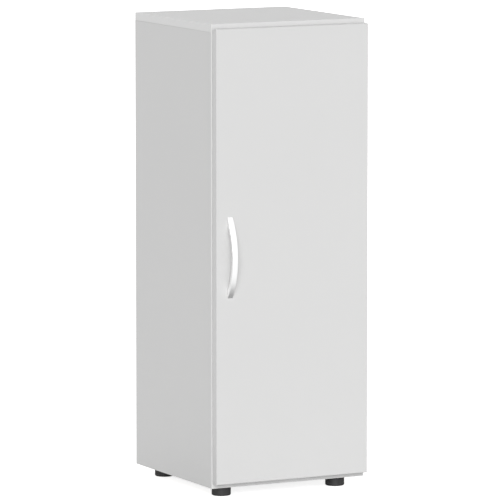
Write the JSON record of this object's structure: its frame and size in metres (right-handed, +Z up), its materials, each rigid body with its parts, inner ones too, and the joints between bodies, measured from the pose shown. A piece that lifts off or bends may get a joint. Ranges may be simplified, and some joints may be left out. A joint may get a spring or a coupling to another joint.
{
  "type": "locker cabinet",
  "caption": "Narrow upright office locker in light grey board, with one overlay door, a metal bow handle, inner shelves and round levelling feet.",
  "frame": {"origin": "on the floor, under the centre of the overall box, handle included", "axes": "+Z up, the door faces -Y, +X to the right of someone facing the door; hinges on the +X side"},
  "size_m": [0.4, 0.449, 1.105],
  "materials": {
    "melamine_board": "light grey melamine-faced board, satin",
    "edge_band": "light grey plastic edge banding, satin",
    "back_board": "light grey faced fibreboard",
    "plated_steel": "nickel-plated steel",
    "foot_plastic": "black moulded plastic",
    "zinc_casting": "die-cast zinc",
    "light_plastic": "light grey moulded plastic",
    "magnet": "dark ferrite with steel pole plates",
    "soft_bumper": "clear soft bumper",
    "beech": "plain beech",
    "satin_metal": "satin silver metal"
  },
  "bodies": {
    "root": {"side_left": "melamine_board", "side_right": "melamine_board", "side_left_band": "edge_band", "side_right_band": "edge_band", "top_panel": "melamine_board", "top_bands": "edge_band", "bottom_panel": "melamine_board", "bottom_band": "edge_band", "back_panel": "back_board", "shelf_lower": "melamine_board", "shelf_lower_band": "edge_band", "shelf_upper": "melamine_board", "shelf_upper_band": "edge_band", "shelf_pins": "plated_steel", "cam_housings": "zinc_casting", "cam_bolts": "plated_steel", "cam_caps": "light_plastic", "dowels": "beech", "foot_sleeves": "plated_steel", "foot_plugs": "light_plastic", "catch_housing": "light_plastic", "catch_magnet": "magnet", "catch_screws": "plated_steel", "hinge_arms": "plated_steel", "hinge_plates": "plated_steel", "hinge_plate_screws": "plated_steel", "hinge_arm_screws": "plated_steel"},
    "door": {"door_panel": "melamine_board", "door_bands": "edge_band", "door_bumpers": "soft_bumper", "handle_bow": "satin_metal", "handle_screws": "plated_steel", "hinge_cups": "plated_steel", "hinge_cup_screws": "plated_steel", "hinge_pins": "plated_steel", "strike_plate": "plated_steel", "strike_screws": "plated_steel"},
    "foot_front_left": {"foot_front_left": "foot_plastic"},
    "spindle_front_left": {"spindle_front_left": "plated_steel"},
    "foot_front_right": {"foot_front_right": "foot_plastic"},
    "spindle_front_right": {"spindle_front_right": "plated_steel"},
    "foot_rear_left": {"foot_rear_left": "foot_plastic"},
    "spindle_rear_left": {"spindle_rear_left": "plated_steel"},
    "foot_rear_right": {"foot_rear_right": "foot_plastic"},
    "spindle_rear_right": {"spindle_rear_right": "plated_steel"}
  },
  "joints": [
    {"name": "door_hinge", "type": "hinge", "parent": "root", "child": "door", "pos_m": [0.1925, -0.18628, 0.5655], "axis": [0, 0, 1], "range_deg": [0, 105]},
    {"name": "foot_front_left_lift", "type": "slide", "parent": "root", "child": "foot_front_left", "axis": [0, 0, 1], "range_m": [-0.012, 0]},
    {"name": "spindle_front_left_turn", "type": "hinge", "parent": "foot_front_left", "child": "spindle_front_left", "pos_m": [-0.15, -0.1255, 0.025], "axis": [0, 0, 1], "range_deg": [-2881, 0]},
    {"name": "foot_front_right_lift", "type": "slide", "parent": "root", "child": "foot_front_right", "axis": [0, 0, 1], "range_m": [-0.012, 0]},
    {"name": "spindle_front_right_turn", "type": "hinge", "parent": "foot_front_right", "child": "spindle_front_right", "pos_m": [0.15, -0.1255, 0.025], "axis": [0, 0, 1], "range_deg": [-2881, 0]},
    {"name": "foot_rear_left_lift", "type": "slide", "parent": "root", "child": "foot_rear_left", "axis": [0, 0, 1], "range_m": [-0.012, 0]},
    {"name": "spindle_rear_left_turn", "type": "hinge", "parent": "foot_rear_left", "child": "spindle_rear_left", "pos_m": [-0.15, 0.1745, 0.025], "axis": [0, 0, 1], "range_deg": [-2881, 0]},
    {"name": "foot_rear_right_lift", "type": "slide", "parent": "root", "child": "foot_rear_right", "axis": [0, 0, 1], "range_m": [-0.012, 0]},
    {"name": "spindle_rear_right_turn", "type": "hinge", "parent": "foot_rear_right", "child": "spindle_rear_right", "pos_m": [0.15, 0.1745, 0.025], "axis": [0, 0, 1], "range_deg": [-2881, 0]}
  ],
  "couplings": [
    {"joint": "spindle_front_left_turn", "follows": "foot_front_left_lift", "rad_per_m": 4188.8},
    {"joint": "spindle_front_right_turn", "follows": "foot_front_right_lift", "rad_per_m": 4188.8},
    {"joint": "spindle_rear_left_turn", "follows": "foot_rear_left_lift", "rad_per_m": 4188.8},
    {"joint": "spindle_rear_right_turn", "follows": "foot_rear_right_lift", "rad_per_m": 4188.8}
  ]
}
